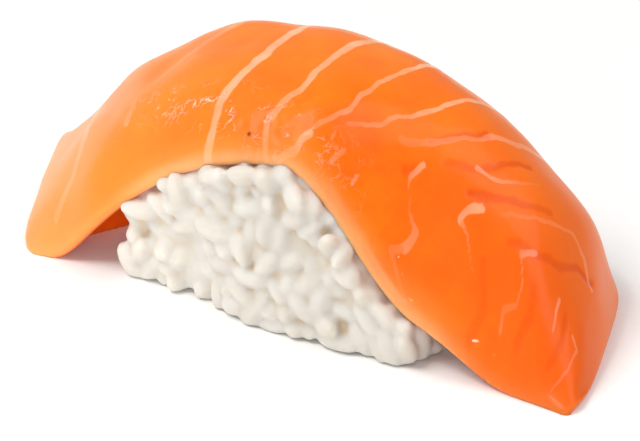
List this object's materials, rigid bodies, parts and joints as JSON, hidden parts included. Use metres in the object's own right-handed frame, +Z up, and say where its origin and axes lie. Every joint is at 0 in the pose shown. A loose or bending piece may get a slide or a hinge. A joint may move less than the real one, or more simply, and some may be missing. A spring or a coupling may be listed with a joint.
{
  "type": "salmon nigiri",
  "caption": "Hand-formed sushi piece: a raw salmon slice draped in an arch over a pressed oblong block of cooked rice, both ends of the slice resting on the plate.",
  "frame": {"origin": "centre of the overall bounding box in plan, at the height of the plate the piece rests on", "axes": "+X along the slice towards the end whose near side is draped lowest, +Y across it towards the side that is draped least, +Z up"},
  "size_m": [0.0899, 0.0307, 0.0284],
  "materials": {
    "raw_salmon": "moist raw flesh, soft gloss",
    "cooked_rice": "moist cooked grains, low sheen"
  },
  "bodies": {
    "root": {"salmon": "raw_salmon", "rice": "cooked_rice"}
  },
  "joints": []
}
